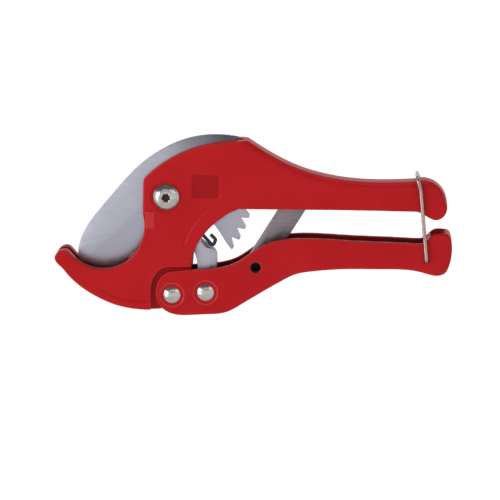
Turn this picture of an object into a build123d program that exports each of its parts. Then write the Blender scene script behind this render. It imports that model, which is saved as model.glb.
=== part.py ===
"""Ratchet PVC pipe cutter: a hooked jaw cast in one with the upper handle, a toothed blade,
a channel-shaped lower handle that drives the blade through a pawl, and a wire bail that locks it.

Frame: +X from the jaw to the handles, +Z up, Y across the thickness. X = 0 is half way along the tool
and Y = 0 the middle of the blade. The parts are drawn with Z = 0 just above the lower handle's sole and
saved LIFT higher, so that the tool stands on Z = 0. All sizes in millimetres. The tool is modelled closed
and locked.
"""
from math import cos, radians, sin
import os

from build123d import *

os.makedirs("parts", exist_ok=True)

# --- driving dimensions -------------------------------------------------------------------
LIFT = 0.64               # raises the finished parts so that the sole's lowest point is Z = 0
HALF_WIDTH = 8.5          # jaw and both handles are 17 mm wide
BLADE_HALF = 1.5          # the blade is 3 mm thick
BLADE_GAP = 0.25          # side play of the blade in its slot
WALL = 2.5                # side walls of both handle channels
RUNNING_FIT = 0.05        # radial clearance of a pin that turns

BLADE_PIVOT = (-44.0, 61.4)
HANDLE_PIVOT = (-41.3, 10.3)
PAWL_PIVOT = (-24.0, 11.7)
LEVER_PIVOT = (1.8, 25.1)
BAIL_PIVOT = (89.2, 29.4)

SCREW_R = 4.0             # M8 pivot screw
BUSH_R = 5.5
SCREW_HEAD_R = 6.9
SCREW_HEAD_H = 2.9
WASHER_H = 0.7
NUT_H = 2.2
SEAT_R = 8.2              # shallow seat of the screw's head
SEAT_DEPTH = 0.6
RIVET_R = 3.0
HANDLE_BUSH_R = 4.5
RIVET_HEAD_R = 4.4
RIVET_HEAD_H = 1.8
RIVET_SEAT_R = 6.2
RIVET_SEAT_DEPTH = 0.5

TOOTH_TIP_R = 43.6
TOOTH_ROOT_R = 39.4
TOOTH_PITCH = 8.25        # degrees
TOOTH_COUNT = 9
FIRST_TOOTH = -40.4       # lower corner of the lowest tooth, degrees about the blade's pivot
CORNER_SWEEP_R = 48.6     # the slot clears the blade's outermost corner
SECTOR_SWEEP_R = 44.4     # and the toothed sector, which swings down behind the throat
NOSE_R = 24.7             # path of the pawl's nose pin about the blade's pivot, blade opening
NOSE_ANGLE = -55.0
NOSE_PIN_R = 1.5
NOSE_TRACK_HALF = 2.1     # half the width of the blade's relief track for the nose pin

RELIEF = 0.55             # depth of the shallow cast relief
JAW_SLOT_HALF = 2.6       # the slot between the jaw's two sides, where they hold the pipe
LUG_HALF = 5.7            # the body's lug sits between the lower handle's walls
LUG_R = 7.5

PAWL_INNER = 2.0          # the pawl's two plates stand this far from the middle
PAWL_OUTER = 3.9
POCKET_HALF = 4.5         # hollow of the body for the pawl

LEVER_HALF = 1.5
LEVER_WIDTH = 12.0
LEVER_ANGLE = 58.0        # lean of the spreader lever from the horizontal
LEVER_LENGTH = 45.0
LEVER_BORE_R = 2.9
LEVER_PIN_HOLLOW_R = 2.3
LEVER_PIN_WEB = 1.0       # half the thickness of the web in the middle of the hollow pin
LEVER_PIN_HALF = 7.6

SPRING_WIRE_R = 0.9
COIL_R = 5.1              # middle of the spreader spring's wire
COIL_WIRE_R = 0.42
COIL_PITCH = 0.9
COIL_TURNS = 3 + LEVER_ANGLE / 360

BAIL_WIRE_R = 0.95
BAIL_HALF = HALF_WIDTH + 0.35 + BAIL_WIRE_R
BAIL_TOP = (84.0, 72.5)
BAIL_KNEE = (85.8, 66.5)  # slight bend in both of its legs


def polar(centre, radius, degrees):
    """The point at a radius and angle about a centre, in the side view."""
    return (
        centre[0] + radius * cos(radians(degrees)),
        centre[1] + radius * sin(radians(degrees)),
    )


def across(y):
    """The side-view plane (local x is X, local y is Z) standing at a given Y."""
    return Plane.XZ.offset(-y)


def save(part, name):
    """Lifts a finished part so that the tool's lowest point is at Z = 0, labels it and writes its STEP."""
    lifted = part.moved(Location((0, 0, LIFT)))
    lifted.label = name
    export_step(lifted, f"parts/{name}.step")


NOSE = polar(BLADE_PIVOT, NOSE_R, NOSE_ANGLE)

# --- main casting: jaw, cheeks and upper handle in one --------------------------------------
UPPER_CREST = [(0.6, 88.6), (12.0, 81.7), (23.5, 76.3), (35.0, 72.8), (47.0, 70.6), (60.0, 69.6), (83.0, 70.2)]
UNDERSIDE = 55.5

with BuildPart() as grip_block:
    with BuildSketch(Plane.XZ):
        with BuildLine():
            top = Spline(*UPPER_CREST)
            bulb = ThreePointArc(top @ 1, (94.4, 68.3), (99.3, 58.8))
            heel = ThreePointArc(bulb @ 1, (98.4, 52.9), (94.0, 50.2))
            nib = Spline(heel @ 1, (90.5, 51.6), (86.6, 54.0), (81.7, 55.1), tangents=[(-1, 0.1), (-1, 0)])
            Polyline(nib @ 1, (40.0, UNDERSIDE), (-8.0, UNDERSIDE), (-8.0, 90.5), (-2.5, 90.6), top @ 0)
        make_face()
    extrude(amount=HALF_WIDTH, both=True)
    crest_edges = [e for e in edges() if e.center().Z > 58 and abs(abs(e.center().Y) - HALF_WIDTH) < 0.01
                   and e.center().X > 3]
    fillet(crest_edges, 4.0)

with BuildPart() as main_casting:
    with BuildSketch(Plane.XZ):
        with BuildLine():
            cheek = Spline((-55.7, 70.2), (-49.4, 76.0), (-40.5, 81.9), (-29.8, 86.5), (-17.0, 89.4), (-7.9, 90.3))
            mouth = Spline(
                (-7.9, 54.8), (-13.3, 52.3), (-18.4, 48.5), (-25.6, 40.8), (-29.8, 33.2), (-31.2, 24.8)
            )
            Line(cheek @ 1, mouth @ 0)
            lug = ThreePointArc(
                polar(HANDLE_PIVOT, LUG_R, 5), polar(HANDLE_PIVOT, LUG_R, -90), polar(HANDLE_PIVOT, LUG_R, -120)
            )
            Line(mouth @ 1, lug @ 0)
            belly = Spline(
                (-46.6, 2.4), (-62.0, 2.7), (-70.0, 4.4), (-78.4, 7.8), (-88.4, 13.9), (-96.0, 21.2)
            )
            Line(lug @ 1, belly @ 0)
            hook_nose = Spline(belly @ 1, (-99.2, 24.8), (-101.9, 29.0), (-100.1, 32.1), (-96.6, 33.3),
                               (-94.6, 32.4))
            lip = Line(hook_nose @ 1, (-91.0, 28.4))
            cradle = ThreePointArc(lip @ 1, (-78.0, 23.3), (-63.4, 28.4))
            throat = Spline(cradle @ 1, (-57.6, 36.6), (-55.4, 44.4), (-56.1, 52.0))
            Line(throat @ 1, cheek @ 0)
        make_face()
    extrude(amount=HALF_WIDTH, both=True)
    outer_edges = [e for e in edges() if abs(abs(e.center().Y) - HALF_WIDTH) < 0.01 and e.center().X < -10]
    fillet(outer_edges, 1.0)
    add(grip_block.part)

    # slot that the blade swings in: open along the top of the cheeks and at the hook's end
    with BuildSketch(Plane.XZ):
        with BuildLine():
            floor = Polyline(
                (-104.0, 26.6), (-92.0, 23.4), (-79.0, 11.2), (-74.0, 11.8), (-51.5, 34.4),
                polar(BLADE_PIVOT, SECTOR_SWEEP_R, -99)
            )
            well = ThreePointArc(
                floor @ 1, polar(BLADE_PIVOT, SECTOR_SWEEP_R, -70), polar(BLADE_PIVOT, SECTOR_SWEEP_R, -40)
            )
            Line(well @ 1, polar(BLADE_PIVOT, CORNER_SWEEP_R, -40))
            crown = ThreePointArc(
                polar(BLADE_PIVOT, CORNER_SWEEP_R, -40),
                polar(BLADE_PIVOT, CORNER_SWEEP_R, 0),
                polar(BLADE_PIVOT, CORNER_SWEEP_R, 41),
            )
            Polyline(crown @ 1, (-7.0, 100.0), (-104.0, 100.0), floor @ 0)
        make_face()
    extrude(amount=BLADE_HALF + BLADE_GAP, both=True, mode=Mode.SUBTRACT)

    # the slot is wider between the jaw's two cheeks, where the edge meets the pipe
    with BuildSketch(Plane.XZ):
        with BuildLine():
            Polyline(
                (-104.0, 26.6), (-92.0, 23.4), (-79.0, 11.2), (-74.0, 11.8), (-56.0, 29.9), (-56.0, 66.0),
                (-104.0, 66.0), close=True
            )
        make_face()
    extrude(amount=JAW_SLOT_HALF, both=True, mode=Mode.SUBTRACT)

    # hollow for the pawl, and the cut-back around the lower handle's end
    with BuildSketch(Plane.XZ):
        with BuildLine():
            Polyline((-34.0, 3.0), (-34.0, 47.5), (-5.0, 47.5), (-5.0, 3.0), close=True)
        make_face()
    extrude(amount=POCKET_HALF, both=True, mode=Mode.SUBTRACT)
    for side in (-1, 1):
        with BuildSketch(across(side * (LUG_HALF + HALF_WIDTH) / 2)):
            with BuildLine():
                shoulder = Spline(
                    (-52.3, 0.0), (-52.3, 10.3), (-50.6, 19.4), (-46.9, 23.7), (-41.5, 25.0),
                    tangents=[(0, 1), (1, 0.03)]
                )
                Polyline(shoulder @ 1, (-27.0, 25.2), (-27.0, 0.0), shoulder @ 0)
            make_face()
        extrude(amount=(HALF_WIDTH - LUG_HALF) / 2, both=True, mode=Mode.SUBTRACT)

    # channel along the underside of the upper handle
    with BuildSketch(Plane.XZ):
        with BuildLine():
            Polyline(
                (6.0, 40.0), (6.0, 79.6), (12.0, 76.6), (23.5, 71.4), (35.0, 68.0), (47.0, 66.0), (60.0, 65.4),
                (80.0, 65.6), (80.0, 40.0), close=True
            )
        make_face()
    extrude(amount=HALF_WIDTH - WALL, both=True, mode=Mode.SUBTRACT)

    # shallow relief on both sides: a label recess, a pad below the screw, a line along the mouth
    for side in (-1, 1):
        with BuildSketch(across(side * HALF_WIDTH)):
            with Locations((-23.7, 67.4)):
                RectangleRounded(14.4, 12.5, 0.9)
            with BuildLine():
                mouth_line = ThreePointArc((-35.0, 37.0), (-29.4, 48.2), (-20.0, 57.6))
                offset(mouth_line, amount=0.6)
            make_face()
            with BuildLine():
                ridge = Spline((-82.0, 14.4), (-72.0, 15.5), (-64.6, 18.8), (-59.5, 21.2), (-54.2, 21.0), (-49.0, 18.6))
                Polyline(ridge @ 1, (-49.0, 6.2), (-62.0, 6.4), (-71.0, 8.4), ridge @ 0)
            make_face()
        extrude(amount=RELIEF, both=True, mode=Mode.SUBTRACT)
        with BuildSketch(across(side * (HALF_WIDTH - RELIEF))):
            with Locations((-52.2, 49.4)):
                RectangleRounded(4.4, 8.6, 0.8)
        extrude(amount=2 * RELIEF, both=True)

    # bores: pivot screw's bush, its head seat and nut seat, and the handle's rivet
    with BuildSketch(across(HALF_WIDTH)):
        with Locations(BLADE_PIVOT):
            Circle(BUSH_R)
    extrude(amount=2 * HALF_WIDTH, mode=Mode.SUBTRACT)
    for side in (-1, 1):
        with BuildSketch(across(side * (HALF_WIDTH - SEAT_DEPTH / 2))):
            with Locations(BLADE_PIVOT):
                Circle(SEAT_R)
        extrude(amount=SEAT_DEPTH / 2, both=True, mode=Mode.SUBTRACT)
    with BuildSketch(across(HALF_WIDTH)):
        with Locations(HANDLE_PIVOT):
            Circle(HANDLE_BUSH_R)
    extrude(amount=2 * HALF_WIDTH, mode=Mode.SUBTRACT)
save(main_casting.part, "main_casting")

# --- blade: bevelled cutting edge on the left, ratchet sector on the right ------------------
EDGE_START = (-78.6, 14.2)
EDGE_END = (-49.8, 42.6)
BEVEL_WIDTH = 14.5
TIP = (-89.9, 27.0)
HEEL_R = 20.5
CORNER = polar(BLADE_PIVOT, 47.6, 39.6)


def tooth_corners(first):
    """One tooth, counter-clockwise: driving flank, tip, and the sloping back down to the next root."""
    return [
        polar(BLADE_PIVOT, TOOTH_ROOT_R, first - 1.2),
        polar(BLADE_PIVOT, TOOTH_TIP_R, first),
        polar(BLADE_PIVOT, TOOTH_TIP_R, first + 2.2),
    ]


sector_edge = [polar(BLADE_PIVOT, TOOTH_TIP_R, FIRST_TOOTH), polar(BLADE_PIVOT, TOOTH_TIP_R, FIRST_TOOTH + 2.2)]
for count in range(1, TOOTH_COUNT):
    sector_edge += tooth_corners(FIRST_TOOTH + count * TOOTH_PITCH)
sector_edge += [polar(BLADE_PIVOT, TOOTH_ROOT_R + 1.5, FIRST_TOOTH + TOOTH_COUNT * TOOTH_PITCH - 1.0)]

with BuildPart() as blade:
    with BuildSketch(Plane.XZ):
        with BuildLine():
            heel = ThreePointArc(
                polar(BLADE_PIVOT, HEEL_R, -107), polar(BLADE_PIVOT, HEEL_R, -70), polar(BLADE_PIVOT, HEEL_R, -35)
            )
            Spline(
                heel @ 1, polar(BLADE_PIVOT, 28.0, -32.4), polar(BLADE_PIVOT, 35.3, -37.0),
                polar(BLADE_PIVOT, 39.5, -39.4), sector_edge[0]
            )
            Polyline(*sector_edge)
            Line(sector_edge[-1], CORNER)
            spine = Spline(
                CORNER, (-16.0, 92.7), (-24.0, 92.5), (-36.0, 89.9), (-48.0, 84.1), (-60.0, 75.0), (-71.6, 62.3),
                (-82.4, 49.2), (-88.3, 39.6), (-90.2, 31.0)
            )
            Polyline(spine @ 1, TIP, EDGE_START, EDGE_END, heel @ 0)
        make_face()
    extrude(amount=BLADE_HALF, both=True)
    # bore, and the relief track of the pawl's nose pin, open at the trailing edge
    with BuildSketch(across(BLADE_HALF)):
        with Locations(BLADE_PIVOT):
            Circle(BUSH_R + RUNNING_FIT)
        with BuildLine():
            inner = ThreePointArc(
                polar(BLADE_PIVOT, NOSE_R - NOSE_TRACK_HALF, -38),
                polar(BLADE_PIVOT, NOSE_R - NOSE_TRACK_HALF, -16),
                polar(BLADE_PIVOT, NOSE_R - NOSE_TRACK_HALF, 6),
            )
            end = ThreePointArc(
                inner @ 1, polar(BLADE_PIVOT, NOSE_R, 11), polar(BLADE_PIVOT, NOSE_R + NOSE_TRACK_HALF, 6)
            )
            outer = ThreePointArc(
                end @ 1,
                polar(BLADE_PIVOT, NOSE_R + NOSE_TRACK_HALF, -16),
                polar(BLADE_PIVOT, NOSE_R + NOSE_TRACK_HALF, -38),
            )
            Line(outer @ 1, inner @ 0)
        make_face()
    extrude(amount=2 * BLADE_HALF, mode=Mode.SUBTRACT)
    # hollow of the edge: the same bevel from both faces, leaving a thin edge
    edge_run = Vector(EDGE_END[0] - EDGE_START[0], 0, EDGE_END[1] - EDGE_START[1]).normalized()
    inward = Vector(-edge_run.Z, 0, edge_run.X)
    for side in (-1, 1):
        start = Vector(EDGE_START[0], 0, EDGE_START[1]) - edge_run * 12
        with BuildSketch(Plane(origin=start, x_dir=inward, z_dir=edge_run)):
            with BuildLine():
                Polyline(
                    (-2.0, side * 0.12), (0.0, side * 0.12), (BEVEL_WIDTH, side * BLADE_HALF),
                    (BEVEL_WIDTH, side * (BLADE_HALF + 1)), (-2.0, side * (BLADE_HALF + 1)), close=True
                )
            make_face()
        extrude(amount=54.0, mode=Mode.SUBTRACT)
save(blade.part, "blade")

# --- blade pivot: bush, screw with a six-lobed socket, washer and nut -----------------------
with BuildPart() as pivot_bush:
    with BuildSketch(across(HALF_WIDTH - SEAT_DEPTH)):
        with Locations(BLADE_PIVOT):
            Circle(BUSH_R)
            Circle(SCREW_R + RUNNING_FIT, mode=Mode.SUBTRACT)
    extrude(amount=2 * (HALF_WIDTH - SEAT_DEPTH))
save(pivot_bush.part, "pivot_bush")

for name, side in (("blade_shim_near", -1), ("blade_shim_far", 1)):
    with BuildPart() as shim:
        with BuildSketch(across(side * (BLADE_HALF + BLADE_GAP / 2))):
            with Locations(BLADE_PIVOT):
                Circle(9.0)
                Circle(BUSH_R + RUNNING_FIT, mode=Mode.SUBTRACT)
        extrude(amount=BLADE_GAP / 2 - 0.02, both=True)
    save(shim.part, name)

pivot_line = Axis((BLADE_PIVOT[0], 0, BLADE_PIVOT[1]), (0, 1, 0))
with BuildPart() as pivot_screw:
    with BuildSketch(Plane.XY.offset(BLADE_PIVOT[1])):
        with BuildLine():
            seat_y = -(HALF_WIDTH - SEAT_DEPTH)
            crown_y = seat_y - SCREW_HEAD_H
            middle = BLADE_PIVOT[0]
            dome = ThreePointArc(
                (middle + SCREW_HEAD_R, seat_y - 0.5), (middle + 4.9, seat_y - 1.9), (middle + 2.9, crown_y)
            )
            Polyline(
                dome @ 1, (middle, crown_y), (middle, -crown_y), (middle + SCREW_R, -crown_y),
                (middle + SCREW_R, seat_y), (middle + SCREW_HEAD_R, seat_y), dome @ 0
            )
        make_face()
    revolve(axis=pivot_line)
    with BuildSketch(across(crown_y)):
        with Locations(BLADE_PIVOT):
            Circle(2.15)
            with PolarLocations(2.0, 6):
                Circle(0.62)
    extrude(amount=-1.5, mode=Mode.SUBTRACT)
save(pivot_screw.part, "pivot_screw")

with BuildPart() as pivot_washer:
    with BuildSketch(across(HALF_WIDTH - SEAT_DEPTH)):
        with Locations(BLADE_PIVOT):
            Circle(SEAT_R - 0.4)
            Circle(SCREW_R + 0.2, mode=Mode.SUBTRACT)
    extrude(amount=-WASHER_H)
save(pivot_washer.part, "pivot_washer")

with BuildPart() as pivot_nut:
    with BuildSketch(across(HALF_WIDTH - SEAT_DEPTH + WASHER_H)):
        with Locations(BLADE_PIVOT):
            RegularPolygon(6.5, 6, major_radius=False)
            Circle(SCREW_R, mode=Mode.SUBTRACT)
    extrude(amount=-NUT_H)
    chamfer(faces().sort_by(Axis.Y)[-1].edges().filter_by(GeomType.LINE), 0.4)
save(pivot_nut.part, "pivot_nut")

# --- lower handle: a channel, open at the top, with a round end at the handle's pivot -------
with BuildPart() as lower_handle:
    with BuildSketch(Plane.XZ):
        with BuildLine():
            round_end = Spline((-46.6, 3.0), (-49.5, 9.5), (-48.9, 15.8), (-46.2, 20.2), (-41.0, 22.5))
            top = Spline(
                round_end @ 1, (-30.0, 23.6), (-17.5, 24.7), (-8.0, 27.7), (3.0, 35.2), (12.0, 39.0), (22.0, 40.4),
                (50.0, 39.6), (76.0, 38.7), (84.5, 38.4), (88.0, 39.0), (90.2, 41.2), (92.7, 43.4), (96.5, 43.9),
                (99.8, 43.6)
            )
            corner = ThreePointArc(top @ 1, (101.2, 42.4), (101.8, 40.4))
            bulb = ThreePointArc(corner @ 1, (102.0, 31.6), (99.3, 22.8))
            grip = Spline(
                bulb @ 1, (95.2, 21.2), (88.0, 22.8), (66.0, 24.6), (46.0, 24.4), (30.0, 23.0), (21.5, 21.2),
                (17.0, 19.0), (-7.5, 4.2), (-11.6, 1.9), (-15.6, 0.6), (-22.0, 0.0), (-31.0, -0.5), (-40.0, -0.3),
                round_end @ 0
            )
        make_face()
    extrude(amount=HALF_WIDTH, both=True)
    low_edges = [e for e in edges() if abs(abs(e.center().Y) - HALF_WIDTH) < 0.01 and e.center().Z < 22
                 and e.length > 60]
    fillet(low_edges, 2.0)
    # channel between the side walls; its floor ends short of the body's lug
    with BuildSketch(Plane.XZ):
        with BuildLine():
            Polyline(
                (-60.0, 60.0), (-60.0, -5.0), (-34.0, -5.0), (-34.0, 2.4), (-18.0, 2.8), (-12.8, 4.2),
                (-4.0, 9.2), (5.0, 14.8), (21.0, 24.0), (46.0, 27.1), (66.0, 27.4), (87.8, 26.4), (87.8, 60.0),
                close=True
            )
        make_face()
    extrude(amount=HALF_WIDTH - WALL, both=True, mode=Mode.SUBTRACT)
    # small pocket in the top of the bulb
    with BuildSketch(Plane.XZ):
        with BuildLine():
            Polyline((91.5, 60.0), (91.5, 37.0), (98.0, 37.0), (98.0, 60.0), close=True)
        make_face()
    extrude(amount=HALF_WIDTH - WALL - 0.5, both=True, mode=Mode.SUBTRACT)
    # cross holes
    for centre, radius in ((HANDLE_PIVOT, RIVET_R), (PAWL_PIVOT, RIVET_R), (LEVER_PIVOT, LEVER_BORE_R),
                           (BAIL_PIVOT, BAIL_WIRE_R + 0.1)):
        with BuildSketch(across(HALF_WIDTH)):
            with Locations(centre):
                Circle(radius)
        extrude(amount=2 * HALF_WIDTH, mode=Mode.SUBTRACT)
    for centre in (HANDLE_PIVOT, PAWL_PIVOT):
        for side in (-1, 1):
            with BuildSketch(across(side * (HALF_WIDTH - RIVET_SEAT_DEPTH / 2))):
                with Locations(centre):
                    Circle(RIVET_SEAT_R)
            extrude(amount=RIVET_SEAT_DEPTH / 2, both=True, mode=Mode.SUBTRACT)
save(lower_handle.part, "lower_handle")


# --- rivets, with a domed head on each side --------------------------------------------------
def rivet_profile(centre_x, radius):
    """Half section of a double-domed rivet, in the XY plane."""
    seat = HALF_WIDTH - RIVET_SEAT_DEPTH
    near = Polyline((centre_x, -seat - RIVET_HEAD_H), (centre_x + 0.8, -seat - RIVET_HEAD_H))
    dome = ThreePointArc(
        near @ 1, (centre_x + 3.1, -seat - 1.3), (centre_x + RIVET_HEAD_R, -seat)
    )
    shank = Polyline(
        dome @ 1, (centre_x + radius, -seat), (centre_x + radius, seat), (centre_x + RIVET_HEAD_R, seat)
    )
    far = ThreePointArc(
        shank @ 1, (centre_x + 3.1, seat + 1.3), (centre_x + 0.8, seat + RIVET_HEAD_H)
    )
    Polyline(far @ 1, (centre_x, seat + RIVET_HEAD_H), near @ 0)


for name, centre in (("handle_rivet", HANDLE_PIVOT), ("pawl_rivet", PAWL_PIVOT)):
    with BuildPart() as rivet:
        with BuildSketch(Plane.XY.offset(centre[1])):
            with BuildLine():
                rivet_profile(centre[0], RIVET_R - RUNNING_FIT)
            make_face()
        revolve(axis=Axis((centre[0], 0, centre[1]), (0, 1, 0)))
    save(rivet.part, name)

with BuildPart() as handle_bush:
    with BuildSketch(across(LUG_HALF)):
        with Locations(HANDLE_PIVOT):
            Circle(HANDLE_BUSH_R)
            Circle(RIVET_R + RUNNING_FIT, mode=Mode.SUBTRACT)
    extrude(amount=2 * LUG_HALF)
save(handle_bush.part, "handle_bush")

# --- pawl: two plates on a spacer, joined by a nose pin that drives the teeth ----------------
for name, side in (("pawl_plate_near", -1), ("pawl_plate_far", 1)):
    with BuildPart() as plate:
        with BuildSketch(across(side * (PAWL_INNER + PAWL_OUTER) / 2)):
            with BuildLine():
                boss = ThreePointArc(
                    polar(PAWL_PIVOT, 5.5, 165), polar(PAWL_PIVOT, 5.5, -90), polar(PAWL_PIVOT, 5.5, 0)
                )
                flank = Line(boss @ 1, (-18.5, 29.6))
                shoulder = ThreePointArc(flank @ 1, (-19.1, 31.9), (-20.9, 33.7))
                brow = Line(shoulder @ 1, (-26.5, 38.2))
                neck = Line(brow @ 1, (-26.9, 41.2))
                tip = ThreePointArc(neck @ 1, (-29.8, 44.5), (-32.7, 41.6))
                Spline(tip @ 1, (-31.6, 36.0), (-29.2, 30.0), (-28.2, 24.0), boss @ 0)
            make_face()
            with Locations(NOSE):
                Circle(NOSE_PIN_R, mode=Mode.SUBTRACT)
            with Locations(PAWL_PIVOT):
                Circle(RIVET_R + RUNNING_FIT, mode=Mode.SUBTRACT)
        extrude(amount=(PAWL_OUTER - PAWL_INNER) / 2, both=True)
        brow_edges = [e for e in edges().filter_by(GeomType.LINE)
                      if abs(e.center().Z - 35.95) < 0.4 and abs(abs(e.center().Y) - PAWL_OUTER) < 0.01]
        chamfer(brow_edges, 1.1, 1.3)
    save(plate.part, name)

with BuildPart() as pawl_spacer:
    with BuildSketch(across(PAWL_INNER)):
        with Locations(PAWL_PIVOT):
            Circle(4.6)
            Circle(RIVET_R + RUNNING_FIT, mode=Mode.SUBTRACT)
    extrude(amount=2 * PAWL_INNER)
save(pawl_spacer.part, "pawl_spacer")

with BuildPart() as nose_pin:
    with BuildSketch(across(PAWL_OUTER)):
        with Locations(NOSE):
            Circle(NOSE_PIN_R)
    extrude(amount=2 * PAWL_OUTER)
save(nose_pin.part, "nose_pin")

for name, side in (("pawl_washer_near", -1), ("pawl_washer_far", 1)):
    with BuildPart() as washer:
        with BuildSketch(across(side * (PAWL_OUTER + HALF_WIDTH - WALL) / 2)):
            with Locations(PAWL_PIVOT):
                Circle(5.0)
                Circle(RIVET_R + RUNNING_FIT, mode=Mode.SUBTRACT)
        extrude(amount=(HALF_WIDTH - WALL - PAWL_OUTER) / 2 - 0.05, both=True)
    save(washer.part, name)

with BuildPart() as pawl_spring:
    with BuildLine():
        spring_path = FilletPolyline(
            *[(x, -(PAWL_INNER + PAWL_OUTER) / 2, z)
              for x, z in ((-26.5, 42.0), (-20.4, 35.2), (-18.9, 38.6), (-21.6, 41.2))],
            radius=[0.9, 1.2],
        )
    with BuildSketch(Plane(origin=spring_path @ 0, z_dir=spring_path % 0)):
        Circle(SPRING_WIRE_R)
    sweep()
save(pawl_spring.part, "pawl_spring")

# --- spreader lever: a flat bar hinged in the lower handle on a hollow pin -------------------
with BuildPart() as spreader_lever:
    lean = Plane(
        origin=(LEVER_PIVOT[0], -LEVER_HALF, LEVER_PIVOT[1]),
        x_dir=(cos(radians(LEVER_ANGLE)), 0, sin(radians(LEVER_ANGLE))),
        z_dir=(0, 1, 0),
    )
    with BuildSketch(lean):
        with Locations((LEVER_LENGTH / 2, 0)):
            SlotCenterToCenter(LEVER_LENGTH, LEVER_WIDTH)
        Circle(LEVER_BORE_R + RUNNING_FIT, mode=Mode.SUBTRACT)
    extrude(amount=2 * LEVER_HALF)
save(spreader_lever.part, "spreader_lever")

with BuildPart() as lever_pin:
    with BuildSketch(across(LEVER_PIN_HALF)):
        with Locations(LEVER_PIVOT):
            Circle(LEVER_BORE_R)
    extrude(amount=2 * LEVER_PIN_HALF)
    # hollow from both ends
    for side in (-1, 1):
        with BuildSketch(across(side * LEVER_PIN_WEB)):
            with Locations(LEVER_PIVOT):
                Circle(LEVER_PIN_HOLLOW_R)
        extrude(amount=-side * LEVER_PIN_HALF, mode=Mode.SUBTRACT)
save(lever_pin.part, "lever_pin")

for name, side in (("lever_spacer_near", -1), ("lever_spacer_far", 1)):
    with BuildPart() as spacer:
        with BuildSketch(across(side * (LEVER_HALF + HALF_WIDTH - WALL) / 2)):
            with Locations(LEVER_PIVOT):
                Circle(4.4)
                Circle(LEVER_BORE_R + RUNNING_FIT, mode=Mode.SUBTRACT)
        extrude(amount=(HALF_WIDTH - WALL - LEVER_HALF) / 2 - 0.05, both=True)
    save(spacer.part, name)

coil_start = (LEVER_PIVOT[0], -(LEVER_HALF + 0.7), LEVER_PIVOT[1])
with BuildPart() as spreader_spring:
    with BuildLine():
        coil = Helix(
            pitch=COIL_PITCH, height=COIL_PITCH * COIL_TURNS, radius=COIL_R, center=coil_start,
            direction=(0, -1, 0),
        )
    with BuildSketch(Plane(origin=coil @ 0, z_dir=coil % 0)):
        Circle(COIL_WIRE_R)
    sweep(path=coil)
    # straight legs: one runs up beside the lever, the other down towards the channel's floor
    for end, direction, length in ((coil @ 0, -(coil % 0), 6.0), (coil @ 1, coil % 1, 11.0)):
        with BuildSketch(Plane(origin=end, z_dir=direction)):
            Circle(COIL_WIRE_R)
        extrude(amount=length)
save(spreader_spring.part, "spreader_spring")

# --- wire bail, hooked over the upper handle -------------------------------------------------
with BuildPart() as wire_bail:
    with BuildLine() as route:
        corner_r = 2.4
        side_path = FilletPolyline(
            (BAIL_PIVOT[0], -(HALF_WIDTH - WALL), BAIL_PIVOT[1]),
            (BAIL_PIVOT[0], -BAIL_HALF, BAIL_PIVOT[1]),
            (BAIL_KNEE[0], -BAIL_HALF, BAIL_KNEE[1]),
            (BAIL_TOP[0], -BAIL_HALF, BAIL_TOP[1]),
            (BAIL_TOP[0], BAIL_HALF, BAIL_TOP[1]),
            (BAIL_KNEE[0], BAIL_HALF, BAIL_KNEE[1]),
            (BAIL_PIVOT[0], BAIL_HALF, BAIL_PIVOT[1]),
            (BAIL_PIVOT[0], HALF_WIDTH - WALL, BAIL_PIVOT[1]),
            radius=[1.3, 8.0, corner_r, corner_r, 8.0, 1.3],
        )
    with BuildSketch(Plane(origin=side_path @ 0, z_dir=side_path % 0)):
        Circle(BAIL_WIRE_R)
    sweep()
save(wire_bail.part, "wire_bail")
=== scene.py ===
"""Looks of the ratchet PVC pipe cutter: red painted castings, ground blade, nickel screws and a studio."""
from math import cos, pi, radians, sin

import bmesh
import bpy
import numpy as np
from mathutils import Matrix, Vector
from mathutils.kdtree import KDTree

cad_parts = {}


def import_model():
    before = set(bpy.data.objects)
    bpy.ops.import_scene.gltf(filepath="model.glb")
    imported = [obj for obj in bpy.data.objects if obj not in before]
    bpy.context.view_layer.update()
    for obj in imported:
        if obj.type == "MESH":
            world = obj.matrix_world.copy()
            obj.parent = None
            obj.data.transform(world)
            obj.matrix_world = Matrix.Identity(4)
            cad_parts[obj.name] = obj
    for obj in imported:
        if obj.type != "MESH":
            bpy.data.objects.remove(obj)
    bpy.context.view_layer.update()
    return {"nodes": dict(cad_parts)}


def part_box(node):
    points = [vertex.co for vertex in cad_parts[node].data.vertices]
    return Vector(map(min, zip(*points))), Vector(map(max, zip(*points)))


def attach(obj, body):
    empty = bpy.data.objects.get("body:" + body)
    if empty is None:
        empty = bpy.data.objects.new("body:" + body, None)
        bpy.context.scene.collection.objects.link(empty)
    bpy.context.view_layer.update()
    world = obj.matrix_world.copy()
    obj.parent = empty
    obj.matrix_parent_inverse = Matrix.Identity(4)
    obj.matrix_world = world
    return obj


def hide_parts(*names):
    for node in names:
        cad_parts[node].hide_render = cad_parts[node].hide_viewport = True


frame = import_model()
NODES = frame["nodes"]
MM = 0.001
# how proud each casting vertex stands; it drives a painted highlight that turns the red paint paler on
# convex edges
EDGE_HIGHLIGHT_ATTRIBUTE = "convex_edge_highlight"
# 1 on the walls of channels and slots; it paints shade on them as near-black red
INNER_SHADE_ATTRIBUTE = "inner_wall_shade"

# places on the castings and the blade, in metres
LABEL_X = (-0.0306, -0.0168)      # recessed panel behind the screw
LABEL_Z = (0.0622, 0.0738)
TABLET_X = (-0.0544, -0.0500)     # small raised pad below the screw
TABLET_Z = (0.0458, 0.0543)
RING_R = 0.0062                   # rim of a rivet's seat
RING_SOFT = 0.0004
EDGE_POINT = (-0.0786, 0.0, 0.0148)
EDGE_INWARD = (-0.702, 0.0, 0.712)
BEVEL_WIDTH = 0.0145
BEVEL_SOFT = 0.0004
BACK_SHADE_DIRECTION = (0.8, 0.0, 0.6)  # painted shade and reflection on the blade grow along this
BACK_SHADE_REACH = (0.012, 0.044)
BACK_SHADE_Z = (0.066, 0.076)

bpy.context.scene.view_settings.view_transform = "Standard"
bpy.context.scene.view_settings.look = "None"


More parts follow.
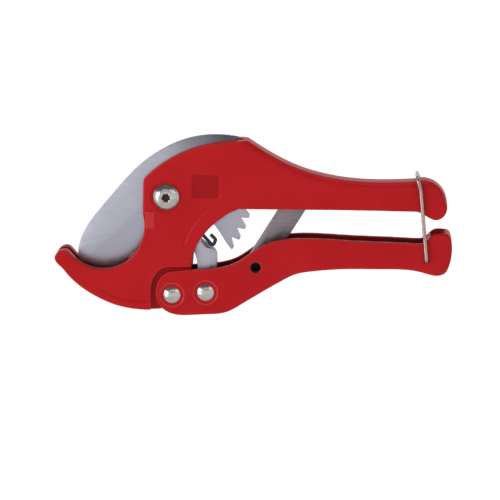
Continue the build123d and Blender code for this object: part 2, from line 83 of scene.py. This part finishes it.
# --- node helpers -------------------------------------------------------------------------
def new_material(name):
    """An empty node material: the material, its tree and its Principled shader."""
    material = bpy.data.materials.new(name)
    material.use_nodes = True
    tree = material.node_tree
    return material, tree, tree.nodes["Principled BSDF"]


def noise(tree, scale, detail=3.0, rough=0.5, stretch=(1, 1, 1)):
    """3-D noise in object space, finer along the axes with a larger stretch."""
    coords = tree.nodes.new("ShaderNodeTexCoord")
    mapping = tree.nodes.new("ShaderNodeMapping")
    mapping.inputs["Scale"].default_value = stretch
    texture = tree.nodes.new("ShaderNodeTexNoise")
    texture.inputs["Scale"].default_value = scale
    texture.inputs["Detail"].default_value = detail
    texture.inputs["Roughness"].default_value = rough
    tree.links.new(coords.outputs["Object"], mapping.inputs["Vector"])
    tree.links.new(mapping.outputs["Vector"], texture.inputs["Vector"])
    return texture.outputs["Fac"]


def ramp(tree, value, low, high, low_at=0.35, high_at=0.65):
    """A colour that goes from low to high with the value."""
    node = tree.nodes.new("ShaderNodeValToRGB")
    node.color_ramp.elements[0].position = low_at
    node.color_ramp.elements[0].color = (*low, 1)
    node.color_ramp.elements[1].position = high_at
    node.color_ramp.elements[1].color = (*high, 1)
    tree.links.new(value, node.inputs["Fac"])
    return node.outputs["Color"]


def spread(tree, value, low, high, start=0.3, end=0.7):
    """A number that goes from low to high as the value goes from start to end."""
    node = tree.nodes.new("ShaderNodeMapRange")
    node.inputs["From Min"].default_value = start
    node.inputs["From Max"].default_value = end
    node.inputs["To Min"].default_value = low
    node.inputs["To Max"].default_value = high
    tree.links.new(value, node.inputs["Value"])
    return node.outputs["Result"]


def mix(tree, factor, below, above):
    """Two colours mixed by a factor."""
    node = tree.nodes.new("ShaderNodeMix")
    node.data_type = "RGBA"
    tree.links.new(factor, node.inputs["Factor"])
    for socket, colour in ((node.inputs[6], below), (node.inputs[7], above)):
        if isinstance(colour, tuple):
            socket.default_value = (*colour, 1)
        else:
            tree.links.new(colour, socket)
    return node.outputs[2]


def product(tree, first, second, kind="MULTIPLY"):
    """Two numbers multiplied, or joined by another kind of math."""
    node = tree.nodes.new("ShaderNodeMath")
    node.operation = kind
    for socket, value in zip(node.inputs, (first, second)):
        if isinstance(value, float):
            socket.default_value = value
        else:
            tree.links.new(value, socket)
    return node.outputs["Value"]


def along(tree, direction, origin=(0, 0, 0)):
    """Distance in metres from a point along a direction, in object space."""
    coords = tree.nodes.new("ShaderNodeTexCoord")
    offset = tree.nodes.new("ShaderNodeVectorMath")
    offset.operation = "SUBTRACT"
    offset.inputs[1].default_value = origin
    dot = tree.nodes.new("ShaderNodeVectorMath")
    dot.operation = "DOT_PRODUCT"
    dot.inputs[1].default_value = direction
    tree.links.new(coords.outputs["Object"], offset.inputs[0])
    tree.links.new(offset.outputs["Vector"], dot.inputs[0])
    return dot.outputs["Value"]


def inside(tree, direction, low, high, soft):
    """1 between two distances along a direction and 0 outside, with soft edges."""
    place = along(tree, direction)
    rise = spread(tree, place, 0.0, 1.0, low - soft, low + soft)
    fall = spread(tree, place, 1.0, 0.0, high - soft, high + soft)
    return product(tree, rise, fall)


def seat_rim_highlight(tree, node):
    """1 on a thin ring round the axis of a rivet, at its seat's rim, where a painted highlight lightens the
    paint.
    """
    low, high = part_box(node)
    coords = tree.nodes.new("ShaderNodeTexCoord")
    offset = tree.nodes.new("ShaderNodeVectorMath")
    offset.operation = "SUBTRACT"
    offset.inputs[1].default_value = ((low[0] + high[0]) / 2, 0.0, (low[2] + high[2]) / 2)
    flat = tree.nodes.new("ShaderNodeVectorMath")
    flat.operation = "MULTIPLY"
    flat.inputs[1].default_value = (1, 0, 1)
    distance = tree.nodes.new("ShaderNodeVectorMath")
    distance.operation = "LENGTH"
    tree.links.new(coords.outputs["Object"], offset.inputs[0])
    tree.links.new(offset.outputs["Vector"], flat.inputs[0])
    tree.links.new(flat.outputs["Vector"], distance.inputs[0])
    rise = spread(tree, distance.outputs["Value"], 0.0, 1.0, RING_R - RING_SOFT, RING_R)
    fall = spread(tree, distance.outputs["Value"], 1.0, 0.0, RING_R, RING_R + RING_SOFT)
    return product(tree, rise, fall)


def attribute(tree, name):
    """A number stored on the mesh's vertices."""
    node = tree.nodes.new("ShaderNodeAttribute")
    node.attribute_name = name
    return node.outputs["Fac"]


def bump(tree, height, strength, distance, below=None):
    """A bumped normal from a height, over another bump if one is given."""
    node = tree.nodes.new("ShaderNodeBump")
    node.inputs["Strength"].default_value = strength
    node.inputs["Distance"].default_value = distance
    tree.links.new(height, node.inputs["Height"])
    if below:
        tree.links.new(below, node.inputs["Normal"])
    return node.outputs["Normal"]


# --- materials ----------------------------------------------------------------------------
def red_paint():
    """Powder coat on a casting: orange peel, slow waviness, a painted highlight on convex edges, painted
    shade on the inner walls, a darker label panel, a lighter tablet and painted highlight rings at the
    rivets' seats."""
    material, tree, shader = new_material("red_paint")
    coat = ramp(tree, noise(tree, 35.0, 2.0), (0.425, 0.0090, 0.0120), (0.465, 0.0110, 0.0145))
    label = product(
        tree,
        inside(tree, (1, 0, 0), *LABEL_X, 0.0003),
        inside(tree, (0, 0, 1), *LABEL_Z, 0.0003),
    )
    coat = mix(tree, product(tree, label, 0.75), coat, (0.30, 0.0070, 0.0090))
    tablet = product(
        tree,
        inside(tree, (1, 0, 0), *TABLET_X, 0.0002),
        inside(tree, (0, 0, 1), *TABLET_Z, 0.0002),
    )
    coat = mix(tree, product(tree, tablet, 0.30), coat, (0.62, 0.075, 0.080))
    # painted highlight: a pale ring on the rim of each rivet's seat
    for node in ("handle_rivet", "pawl_rivet"):
        coat = mix(tree, product(tree, seat_rim_highlight(tree, node), 0.35), coat, (0.70, 0.16, 0.16))
    # painted shade: the channel and slot walls, where little light reaches, are darkened to near-black red
    coat = mix(tree, product(tree, attribute(tree, INNER_SHADE_ATTRIBUTE), 0.85), coat, (0.085, 0.0050, 0.0050))
    # painted highlight: the paint turns paler pink on convex edges, where light catches them
    edge = spread(tree, attribute(tree, EDGE_HIGHLIGHT_ATTRIBUTE), 0.0, 0.16, 0.15, 0.60)
    tree.links.new(mix(tree, edge, coat, (0.72, 0.30, 0.29)), shader.inputs["Base Color"])
    peel = noise(tree, 1100.0, 2.0)
    tree.links.new(spread(tree, peel, 0.30, 0.38), shader.inputs["Roughness"])
    slow = bump(tree, noise(tree, 130.0, 1.0), 0.10, 0.0006)
    tree.links.new(bump(tree, peel, 0.08, 0.0002, slow), shader.inputs["Normal"])
    shader.inputs["Specular IOR Level"].default_value = 0.08
    return material


def ground_blade():
    """Ground and polished blade: fine grinding lines, a darker hollow along the edge, and painted shade
    with a painted dark reflection of the cheek's rim near the spine.
    """
    material, tree, shader = new_material("ground_blade")
    lines = noise(tree, 900.0, 4.0, 0.6, (0.15, 1, 1))
    shade = ramp(tree, lines, (0.39, 0.395, 0.455), (0.44, 0.445, 0.505))
    shade = mix(tree, product(tree, noise(tree, 45.0, 2.0), 0.25), shade, (0.30, 0.305, 0.35))
    across_edge = along(tree, EDGE_INWARD, EDGE_POINT)
    hollow = spread(tree, across_edge, 1.0, 0.0, BEVEL_WIDTH - BEVEL_SOFT, BEVEL_WIDTH + BEVEL_SOFT)
    shade = mix(tree, product(tree, hollow, 0.45), shade, (0.34, 0.33, 0.40))
    # painted shade and painted reflection: the blade above the cheek's rim goes almost black, as if in
    # shade and mirroring the dark rim
    painted_upper_shade = product(
        tree,
        spread(tree, along(tree, BACK_SHADE_DIRECTION), 0.0, 0.85, *BACK_SHADE_REACH),
        spread(tree, along(tree, (0, 0, 1)), 0.0, 1.0, *BACK_SHADE_Z),
    )
    tree.links.new(mix(tree, painted_upper_shade, shade, (0.06, 0.045, 0.055)), shader.inputs["Base Color"])
    tree.links.new(spread(tree, lines, 0.30, 0.40), shader.inputs["Roughness"])
    tree.links.new(bump(tree, lines, 0.05, 0.0001), shader.inputs["Normal"])
    shader.inputs["Metallic"].default_value = 1.0
    return material


def steel(name, low, high, rough_low, rough_high, grain, scale, strength=0.05, metallic=1.0):
    """Metal with a grain: finer across than along when the grain is stretched."""
    material, tree, shader = new_material(name)
    lines = noise(tree, scale, 4.0, 0.6, grain)
    blotches = noise(tree, 60.0, 2.0)
    shade = ramp(tree, lines, low, high)
    tint = ramp(tree, blotches, (0.93, 0.93, 0.93), (1.0, 1.0, 1.0))
    tinted = tree.nodes.new("ShaderNodeMix")
    tinted.data_type = "RGBA"
    tinted.blend_type = "MULTIPLY"
    tinted.inputs["Factor"].default_value = 1.0
    tree.links.new(shade, tinted.inputs[6])
    tree.links.new(tint, tinted.inputs[7])
    tree.links.new(tinted.outputs[2], shader.inputs["Base Color"])
    tree.links.new(spread(tree, lines, rough_low, rough_high), shader.inputs["Roughness"])
    tree.links.new(bump(tree, lines, strength, 0.0001), shader.inputs["Normal"])
    shader.inputs["Metallic"].default_value = metallic
    return material


RED = red_paint()
BLADE = ground_blade()
NICKEL = steel("satin_nickel", (0.40, 0.38, 0.36), (0.50, 0.48, 0.45), 0.18, 0.28, (1, 1, 1), 500.0)
# painted reflection: the bail's steel is tinted pink, standing in for the red casting mirrored in it
WIRE_RED_REFLECTION = steel("bail_wire_red_reflection", (0.34, 0.235, 0.225), (0.46, 0.33, 0.31), 0.22, 0.34, (1, 1, 0.1), 900.0)
PLATE = steel("pawl_plate", (0.40, 0.385, 0.44), (0.48, 0.465, 0.52), 0.36, 0.46, (1, 1, 0.2), 700.0)
BAR = steel("dark_bar", (0.20, 0.165, 0.18), (0.27, 0.23, 0.25), 0.36, 0.48, (0.2, 1, 1), 700.0)
# painted shade: a near-black reddish brown for the lever pin in its hole and for the screw's socket
PIN_AND_SOCKET_SHADE = steel("pin_painted_shade", (0.030, 0.008, 0.006), (0.050, 0.014, 0.010), 0.6, 0.75, (1, 1, 1), 900.0,
            metallic=0.2)
BLACK = steel("black_wire", (0.018, 0.018, 0.02), (0.035, 0.035, 0.04), 0.35, 0.5, (1, 1, 1), 900.0,
              metallic=0.6)
BRONZE = steel("sintered_bronze", (0.38, 0.24, 0.12), (0.48, 0.32, 0.17), 0.35, 0.5, (1, 1, 1), 1500.0)

FINISH = {
    "main_casting": RED, "lower_handle": RED, "blade": BLADE,
    "pivot_screw": NICKEL, "pivot_washer": NICKEL, "pivot_nut": NICKEL, "handle_rivet": NICKEL,
    "pawl_rivet": NICKEL, "wire_bail": WIRE_RED_REFLECTION, "nose_pin": NICKEL,
    "pawl_washer_near": NICKEL, "pawl_washer_far": NICKEL,
    "pawl_plate_near": PLATE, "pawl_plate_far": PLATE, "pawl_spacer": PLATE,
    "spreader_lever": BAR, "lever_pin": PIN_AND_SOCKET_SHADE, "lever_spacer_near": BAR, "lever_spacer_far": BAR,
    "pawl_spring": BLACK, "spreader_spring": BLACK,
    "pivot_bush": BRONZE, "handle_bush": BRONZE, "blade_shim_near": BRONZE, "blade_shim_far": BRONZE,
}
for node, material in FINISH.items():
    NODES[node].data.materials.clear()
    NODES[node].data.materials.append(material)


# --- mesh helpers -------------------------------------------------------------------------
def add_piece(name, mesh, material, node, body):
    """Puts a mesh in the scene as a piece that stands for a CAD node and moves with its body."""
    piece = bpy.data.objects.new(name, mesh)
    bpy.context.scene.collection.objects.link(piece)
    mesh.materials.clear()
    mesh.materials.append(material)
    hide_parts(node)
    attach(piece, body)
    return piece


def welded(node):
    """A copy of a CAD node's mesh with its corners joined."""
    mesh = NODES[node].data.copy()
    build = bmesh.new()
    build.from_mesh(mesh)
    bmesh.ops.remove_doubles(build, verts=build.verts, dist=0.002 * MM)
    build.to_mesh(mesh)
    build.free()
    return mesh


def modified(mesh, *modifiers):
    """The mesh after a list of modifiers, each a type and its settings."""
    holder = bpy.data.objects.new("holder", mesh)
    bpy.context.scene.collection.objects.link(holder)
    for kind, settings in modifiers:
        modifier = holder.modifiers.new(kind.lower(), kind)
        for key, value in settings.items():
            setattr(modifier, key, value)
    graph = bpy.context.evaluated_depsgraph_get()
    result = bpy.data.meshes.new_from_object(holder.evaluated_get(graph))
    bpy.data.objects.remove(holder)
    return result


# --- castings -----------------------------------------------------------------------------
CONVEXITY_STEPS = 4
INNER_HALF = 6.2 * MM  # inner walls stand closer to the middle plane than this
LUG_SHADE = 0.3        # the lug's outer sides lie in the lower handle's shadow
END_FROM = 0.088       # extra rounding of the handles' ends starts here along X
END_FULL = 0.096
END_STEPS = 60


def vectors(mesh, key):
    """The vertices' positions or normals, one row each."""
    values = np.empty(len(mesh.vertices) * 3)
    mesh.vertices.foreach_get(key, values)
    return values.reshape(-1, 3)


def neighbour_mean(mesh):
    """A function that gives the mean of a value over each vertex's neighbours."""
    ends = np.empty(len(mesh.edges) * 2, dtype=np.int64)
    mesh.edges.foreach_get("vertices", ends)
    first, second = ends.reshape(-1, 2).T
    degree = np.bincount(ends, minlength=len(mesh.vertices))[:, None]

    def around(values):
        total = np.zeros_like(values)
        np.add.at(total, first, values[second])
        np.add.at(total, second, values[first])
        return total / degree

    return around


def convexity(mesh, voxel):
    """How far each vertex stands proud of its neighbourhood, in voxels."""
    points = vectors(mesh, "co")
    around = neighbour_mean(mesh)
    flat = points
    for _ in range(CONVEXITY_STEPS):
        flat = around(flat)
    return np.clip(((points - flat) * vectors(mesh, "normal")).sum(axis=1) / voxel, 0.0, 2.0)


def rounded_end(mesh):
    """Rounds the edges of the handle's end knob by smoothing it far more than the rest."""
    points = vectors(mesh, "co")
    around = neighbour_mean(mesh)
    weight = np.clip((points[:, 0] - END_FROM) / (END_FULL - END_FROM), 0.0, 1.0)[:, None]
    for _ in range(END_STEPS):
        points += 0.5 * weight * (around(points) - points)
    mesh.vertices.foreach_set("co", points.ravel())
    mesh.update()


def painted_inner_shade(vertex):
    """1 on the walls of a channel or slot, which face the middle, and less on the lug's outer sides: how
    much painted shade each vertex gets.
    """
    if abs(vertex.co.y) > INNER_HALF or abs(vertex.normal.y) < 0.5:
        return 0.0
    return 1.0 if vertex.co.y * vertex.normal.y < 0 else LUG_SHADE


def soft_casting(node, body, voxel, ratio):
    """A casting with the small radii and slight softness that a mould and powder coat leave."""
    dense = modified(
        welded(node),
        ("REMESH", {"mode": "VOXEL", "voxel_size": voxel}),
        ("SMOOTH", {"factor": 0.5, "iterations": 4}),
    )
    rounded_end(dense)
    proud = convexity(dense, voxel)
    tree = KDTree(len(dense.vertices))
    for index, vertex in enumerate(dense.vertices):
        tree.insert(vertex.co, index)
    tree.balance()
    light = modified(dense, ("DECIMATE", {"ratio": ratio}))
    # the convexity is carried over as the edge attribute that paints highlights on the red paint
    values = [proud[tree.find(vertex.co)[1]] for vertex in light.vertices]
    light.attributes.new(EDGE_HIGHLIGHT_ATTRIBUTE, "FLOAT", "POINT").data.foreach_set("value", values)
    # painted shade on the inner walls, carried as a vertex attribute
    inner = [painted_inner_shade(vertex) for vertex in light.vertices]
    light.attributes.new(INNER_SHADE_ATTRIBUTE, "FLOAT", "POINT").data.foreach_set("value", inner)
    light.polygons.foreach_set("use_smooth", [True] * len(light.polygons))
    add_piece(f"{node}_cast", light, RED, node, body)


soft_casting("main_casting", "frame", 0.42 * MM, 0.30)
soft_casting("lower_handle", "lower_handle", 0.38 * MM, 0.30)


# --- flat steel parts ---------------------------------------------------------------------
def crisp(node, body, width):
    """A stamped or ground steel part with its edges broken by a narrow bevel."""
    mesh = welded(node)
    build = bmesh.new()
    build.from_mesh(mesh)
    bmesh.ops.dissolve_limit(build, angle_limit=radians(0.5), verts=build.verts, edges=build.edges)
    build.to_mesh(mesh)
    build.free()
    bevelled = modified(
        mesh,
        ("BEVEL", {"width": width, "segments": 2, "limit_method": "ANGLE", "angle_limit": radians(35),
                   "use_clamp_overlap": True, "harden_normals": False}),
        ("TRIANGULATE", {}),
    )
    bevelled.polygons.foreach_set("use_smooth", [True] * len(bevelled.polygons))
    bevelled.set_sharp_from_angle(angle=radians(25))
    add_piece(f"{node}_steel", bevelled, FINISH[node], node, body)


crisp("blade", "blade", 0.18 * MM)
crisp("pawl_plate_near", "pawl", 0.16 * MM)
crisp("pawl_plate_far", "pawl", 0.16 * MM)
crisp("spreader_lever", "lever", 0.22 * MM)
crisp("pivot_nut", "frame", 0.15 * MM)


# --- turned parts -------------------------------------------------------------------------
AROUND = 96          # points round a turned part
ALONG = 10           # points along an arc of its profile
RIVET_SEAT = 8.0     # distances from the middle plane and radii, in millimetres
RIVET_SHANK_R = 2.95
SCREW_SEAT = 7.9


def arc(start, end, bulge):
    """Points of a shallow arc between two (radius, height) points, standing proud by bulge."""
    run = (end[0] - start[0], end[1] - start[1])
    length = (run[0] ** 2 + run[1] ** 2) ** 0.5
    outward = (-run[1] / length, run[0] / length)
    points = []
    for step in range(ALONG + 1):
        part = step / ALONG
        proud = 4 * bulge * part * (1 - part)
        points.append((
            start[0] + run[0] * part + outward[0] * proud,
            start[1] + run[1] * part + outward[1] * proud,
            0.0,
        ))
    return points


def turned(name, node, body, side, profile, dark_rings=0):
    """A turned part on its CAD node's axis along Y. A profile point is a radius, a height towards
    side and the depth of six lobes, all in millimetres. The first dark_rings of it are the socket, in
    painted shade."""
    low, high = (Vector(corner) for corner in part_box(node))
    centre = (low + high) / 2
    build = bmesh.new()
    rings = []
    for radius, height, lobe in profile:
        ring = []
        for step in range(AROUND):
            angle = 2 * pi * step / AROUND
            reach = (radius + lobe * cos(6 * angle)) * MM
            spot = (centre.x + reach * cos(angle), side * height * MM, centre.z + reach * sin(angle))
            ring.append(build.verts.new(spot))
        rings.append(ring)
    for inner, outer in zip(rings, rings[1:]):
        for step in range(AROUND):
            after = (step + 1) % AROUND
            build.faces.new((inner[step], inner[after], outer[after], outer[step]))
    build.faces.new(rings[0])
    build.faces.new(rings[-1])
    bmesh.ops.recalc_face_normals(build, faces=build.faces)
    mesh = bpy.data.meshes.new(name)
    build.to_mesh(mesh)
    build.free()
    mesh.polygons.foreach_set("use_smooth", [True] * len(mesh.polygons))
    mesh.set_sharp_from_angle(angle=radians(38))
    add_piece(name, mesh, NICKEL, node, body)
    # painted shade: the socket's faces get the near-black pin material
    if dark_rings:
        mesh.materials.append(PIN_AND_SOCKET_SHADE)
        reach = profile[dark_rings][0] * MM
        for face in mesh.polygons:
            offset = face.center - centre
            if side * face.center.y > 0 and Vector((offset.x, offset.z)).length < reach:
                face.material_index = 1


def rivet_head(seat, height, radius):
    """A low dome from its middle to its rim, with a small rolled edge."""
    crown = seat + height
    dome = arc((0.25, crown), (radius - 0.55, seat + 0.62), 0.34)
    return dome + [(radius - 0.2, seat + 0.42, 0.0), (radius, seat + 0.18, 0.0), (radius - 0.02, seat, 0.0)]


def double_rivet(name, node, body):
    """A rivet with the same dome on both ends of its shank."""
    low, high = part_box(node)
    reach = (high[1] - low[1]) / 2 / MM
    radius = (high[0] - low[0]) / 2 / MM
    head = rivet_head(RIVET_SEAT, reach - RIVET_SEAT, radius)
    shank = [(RIVET_SHANK_R, RIVET_SEAT, 0.0), (RIVET_SHANK_R, -RIVET_SEAT, 0.0)]
    mirrored = [(r, -h, lobe) for r, h, lobe in reversed(head)]
    turned(name, node, body, -1, head + shank + mirrored)


double_rivet("handle_rivet_turned", "handle_rivet", "frame")
double_rivet("pawl_rivet_turned", "pawl_rivet", "lower_handle")

socket = [(0.2, 9.25, 0.0), (1.75, 9.3, 0.28), (2.05, 9.45, 0.34), (2.15, 10.6, 0.36), (2.35, 10.72, 0.36)]
screw_dome = arc((3.3, 10.74), (6.35, 8.85), 0.30)
screw_rim = [(6.62, 8.62, 0.0), (6.85, 8.35, 0.0), (6.88, SCREW_SEAT, 0.0)]
screw_shank = [(4.0, SCREW_SEAT, 0.0), (4.0, -10.4, 0.0), (3.6, -10.78, 0.0)]
turned("pivot_screw_turned", "pivot_screw", "frame", -1, socket + screw_dome + screw_rim + screw_shank,
       dark_rings=3)


# --- studio -------------------------------------------------------------------------------
FLOOR_Z = -0.085       # just below the bail when the handles are fully open
DISTANCE = 1.4         # from the camera to the tool
AZIMUTH = radians(3.0)
ELEVATION = radians(11.6)
TARGET = Vector((-0.0015, 0.0, 0.0333))
VIEW_WIDTH = 0.2575    # what the frame spans at the tool
SENSOR = 36.0


def look_from(obj, place, target):
    """Puts a camera or light at a place, turned towards a target."""
    obj.location = place
    obj.rotation_euler = (Vector(target) - Vector(place)).to_track_quat("-Z", "Y").to_euler()


def studio_camera():
    """A long lens slightly above the tool and to its right."""
    data = bpy.data.cameras.new("camera")
    data.sensor_width = SENSOR
    data.lens = SENSOR * DISTANCE / VIEW_WIDTH
    camera = bpy.data.objects.new("camera", data)
    bpy.context.scene.collection.objects.link(camera)
    offset = Vector((sin(AZIMUTH) * cos(ELEVATION), -cos(AZIMUTH) * cos(ELEVATION), sin(ELEVATION)))
    look_from(camera, TARGET + offset * DISTANCE, TARGET)
    bpy.context.scene.camera = camera


def area_light(name, place, size, power):
    """A rectangular light that faces the tool."""
    data = bpy.data.lights.new(name, "AREA")
    data.shape = "RECTANGLE"
    data.size, data.size_y = size
    data.energy = power
    light = bpy.data.objects.new(name, data)
    bpy.context.scene.collection.objects.link(light)
    look_from(light, place, (0, 0, 0.05))


def floor():
    """A white lacquered table, faintly mirror-like, well below the tool."""
    mesh = bpy.data.meshes.new("floor")
    build = bmesh.new()
    bmesh.ops.create_grid(build, x_segments=1, y_segments=1, size=6.0)
    bmesh.ops.translate(build, verts=build.verts, vec=(0, 0, FLOOR_Z))
    build.to_mesh(mesh)
    build.free()
    obj = bpy.data.objects.new("floor", mesh)
    bpy.context.scene.collection.objects.link(obj)
    material, tree, shader = new_material("pale_floor")
    cloudy = noise(tree, 6.0, 2.0)
    tree.links.new(ramp(tree, cloudy, (0.60, 0.60, 0.60), (0.62, 0.62, 0.62)), shader.inputs["Base Color"])
    shader.inputs["Roughness"].default_value = 0.07
    shader.inputs["Emission Color"].default_value = (1, 1, 1, 1)
    shader.inputs["Emission Strength"].default_value = 0.54
    shader.inputs["Coat Weight"].default_value = 0.6
    shader.inputs["Coat Roughness"].default_value = 0.05
    mesh.materials.append(material)


def world():
    """A tall white screen in front of the tool, a low one all around, and a dim ceiling."""
    bpy.context.scene.world = bpy.data.worlds.new("studio")
    bpy.context.scene.world.use_nodes = True
    tree = bpy.context.scene.world.node_tree
    background = tree.nodes["Background"]
    coords = tree.nodes.new("ShaderNodeTexCoord")
    parts = tree.nodes.new("ShaderNodeSeparateXYZ")
    tree.links.new(coords.outputs["Generated"], parts.inputs["Vector"])
    low = spread(tree, parts.outputs["Z"], 1.0, 0.0, 0.08, 0.50)
    front = spread(tree, parts.outputs["Y"], 1.0, 0.0, -0.10, 0.35)
    horizon = spread(tree, parts.outputs["Z"], 1.0, 0.0, 0.30, 0.42)
    lit = product(tree, product(tree, low, front), horizon, "MAXIMUM")
    tree.links.new(mix(tree, lit, (0.16, 0.16, 0.165), (1.0, 1.0, 1.0)), background.inputs["Color"])
    background.inputs["Strength"].default_value = 1.0


studio_camera()
world()
floor()
area_light("key", (-1.3, -0.9, 0.30), (0.8, 0.5), 9.0)
area_light("strip", (0.1, -1.0, 0.75), (1.4, 0.10), 1.2)
area_light("top", (0.0, 0.25, 1.2), (1.2, 0.5), 4.5)
area_light("corner", (1.1, -0.8, 0.8), (0.8, 0.6), 2.0)
